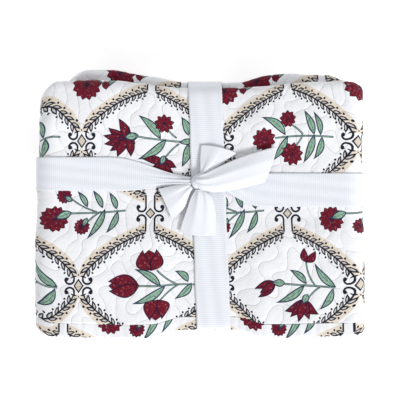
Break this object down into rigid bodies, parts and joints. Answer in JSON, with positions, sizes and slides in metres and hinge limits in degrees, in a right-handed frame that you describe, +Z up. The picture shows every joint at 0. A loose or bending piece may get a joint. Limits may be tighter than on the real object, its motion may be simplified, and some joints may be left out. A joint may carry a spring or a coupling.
{
  "type": "folded quilt tied with a sash",
  "caption": "Printed quilt folded into a thick flat bundle and tied both ways with a wide ribbed sash, lying on its back with the knot on its face.",
  "frame": {"origin": "centre of the bundle's footprint, on the surface that it lies on", "axes": "+X to the right of the face, +Y from the bound near edge towards the folded far edge, +Z up out of the face"},
  "size_m": [0.412, 0.3335, 0.1131],
  "materials": {
    "printed_cotton": "matt printed and quilted cotton, white ground with a crimson, green, navy and beige flower lattice",
    "binding_cotton": "matt printed cotton, as the quilt",
    "ribbed_sash": "cool white, finely ribbed, with a soft sheen"
  },
  "bodies": {
    "root": {"quilt": "printed_cotton", "binding_outer": "binding_cotton", "binding_inner": "binding_cotton", "band_long": "ribbed_sash", "band_cross": "ribbed_sash", "knot": "ribbed_sash", "tail_up": "ribbed_sash", "tail_right": "ribbed_sash", "tail_left": "ribbed_sash", "tail_down": "ribbed_sash"}
  },
  "joints": []
}
